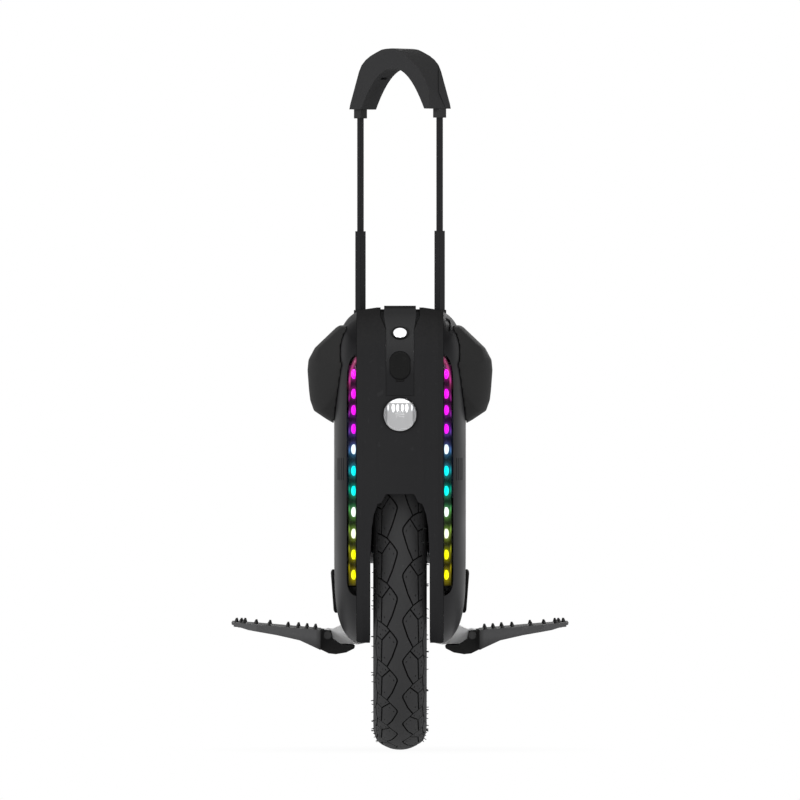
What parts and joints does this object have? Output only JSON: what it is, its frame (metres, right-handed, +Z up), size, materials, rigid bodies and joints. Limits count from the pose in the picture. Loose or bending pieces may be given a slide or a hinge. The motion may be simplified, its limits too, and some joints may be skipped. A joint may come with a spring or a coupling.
{
  "type": "electric unicycle",
  "caption": "Self-balancing electric unicycle with a narrow black shell, knee pads, side light strips, folding studded pedals and a telescopic trolley handle.",
  "frame": {"origin": "centre of the tyre's contact with the ground, under the axle", "axes": "+X to the viewer's right across the machine, along the axle; -Y is the front with the headlight; +Z up"},
  "size_m": [0.348, 0.427, 0.7264],
  "materials": {
    "shell_plastic": "fine grained black shell plastic",
    "panel_plastic": "satin black panel plastic",
    "inner_plastic": "matt black frame plastic",
    "pad_rubber": "soft moulded pad rubber",
    "tyre_rubber": "road tyre",
    "tube_rubber": "butyl tube",
    "cast_alloy": "bead blasted casting",
    "motor_alloy": "black anodised casting",
    "pedal_alloy": "dark coated casting",
    "steel": "plain steel",
    "black_steel": "black oxide",
    "tube_metal": "satin black tube",
    "grip_plastic": "satin black grip",
    "smoked_lens": "smoked clear plastic",
    "clear_lens": "clear plastic",
    "red_lens": "red lens",
    "reflector": "bright reflector",
    "led": "LED lens",
    "board": "circuit board",
    "pack_wrap": "heat shrink wrap",
    "magnet": "plated magnet",
    "lamination": "laminated steel",
    "copper": "enamelled copper",
    "button_metal": "polished button",
    "cap_rubber": "soft cap"
  },
  "bodies": {
    "chassis": {"front_panel": "panel_plastic", "control_strip": "panel_plastic", "rear_panel": "panel_plastic", "top_cover": "panel_plastic", "side_shell_left": "shell_plastic", "side_shell_right": "shell_plastic", "inner_frame_left": "inner_plastic", "inner_frame_right": "inner_plastic", "mudguard": "inner_plastic", "leg_pad_left": "pad_rubber", "leg_pad_right": "pad_rubber", "ankle_pad_left": "pad_rubber", "ankle_pad_right": "pad_rubber", "light_lens_left": "smoked_lens", "light_lens_right": "smoked_lens", "light_boards": "board", "light_leds_left": "led", "light_leds_right": "led", "headlight_bezel": "inner_plastic", "headlight_lens": "clear_lens", "headlight_reflector": "reflector", "headlight_leds": "led", "tail_light_lens": "red_lens", "tail_light_board": "board", "button_bezel": "black_steel", "charge_socket": "black_steel", "hanger_left": "cast_alloy", "hanger_right": "cast_alloy", "hinge_pins": "steel", "axle": "steel", "axle_nuts": "steel", "stator_core": "lamination", "stator_windings": "copper", "battery_left": "pack_wrap", "battery_right": "pack_wrap", "controller_board": "board", "heat_sink": "cast_alloy", "trolley_guides": "inner_plastic", "shell_screws": "black_steel"},
    "wheel": {"tyre": "tyre_rubber", "inner_tube": "tube_rubber", "rim": "motor_alloy", "rotor_magnets": "magnet", "motor_cover_left": "motor_alloy", "motor_cover_right": "motor_alloy", "wheel_bearings": "steel", "cover_screws": "steel", "valve_stem": "steel"},
    "pedal_left": {"pedal_left": "pedal_alloy", "pedal_studs_left": "steel"},
    "pedal_right": {"pedal_right": "pedal_alloy", "pedal_studs_right": "steel"},
    "trolley_outer": {"outer_tube_left": "tube_metal", "outer_tube_right": "tube_metal"},
    "trolley_handle": {"inner_rod_left": "tube_metal", "inner_rod_right": "tube_metal", "rod_collars": "grip_plastic", "handle_grip": "grip_plastic"},
    "power_button": {"power_button": "button_metal"},
    "port_cover": {"port_cover": "cap_rubber"}
  },
  "joints": [
    {"name": "wheel_spin", "type": "hinge", "parent": "chassis", "child": "wheel", "pos_m": [0, 0, 0.203], "axis": [1, 0, 0], "continuous": true},
    {"name": "pedal_left_fold", "type": "hinge", "parent": "chassis", "child": "pedal_left", "pos_m": [-0.0747, 0, 0.1192], "axis": [0, 1, 0], "range_deg": [0, 70]},
    {"name": "pedal_right_fold", "type": "hinge", "parent": "chassis", "child": "pedal_right", "pos_m": [0.0747, 0, 0.1192], "axis": [0, -1, 0], "range_deg": [0, 70]},
    {"name": "trolley_outer_slide", "type": "slide", "parent": "chassis", "child": "trolley_outer", "axis": [0, 0, 1], "range_m": [-0.08, 0]},
    {"name": "trolley_handle_slide", "type": "slide", "parent": "trolley_outer", "child": "trolley_handle", "axis": [0, 0, 1], "range_m": [-0.1165, 0]},
    {"name": "power_button_press", "type": "slide", "parent": "chassis", "child": "power_button", "axis": [0, 0.7178, -0.6962], "range_m": [0, 0.0015], "stiffness_N_per_m": 600},
    {"name": "port_cover_hinge", "type": "hinge", "parent": "chassis", "child": "port_cover", "pos_m": [0, -0.2113, 0.3822], "axis": [1, 0, 0], "range_deg": [0, 95]}
  ]
}
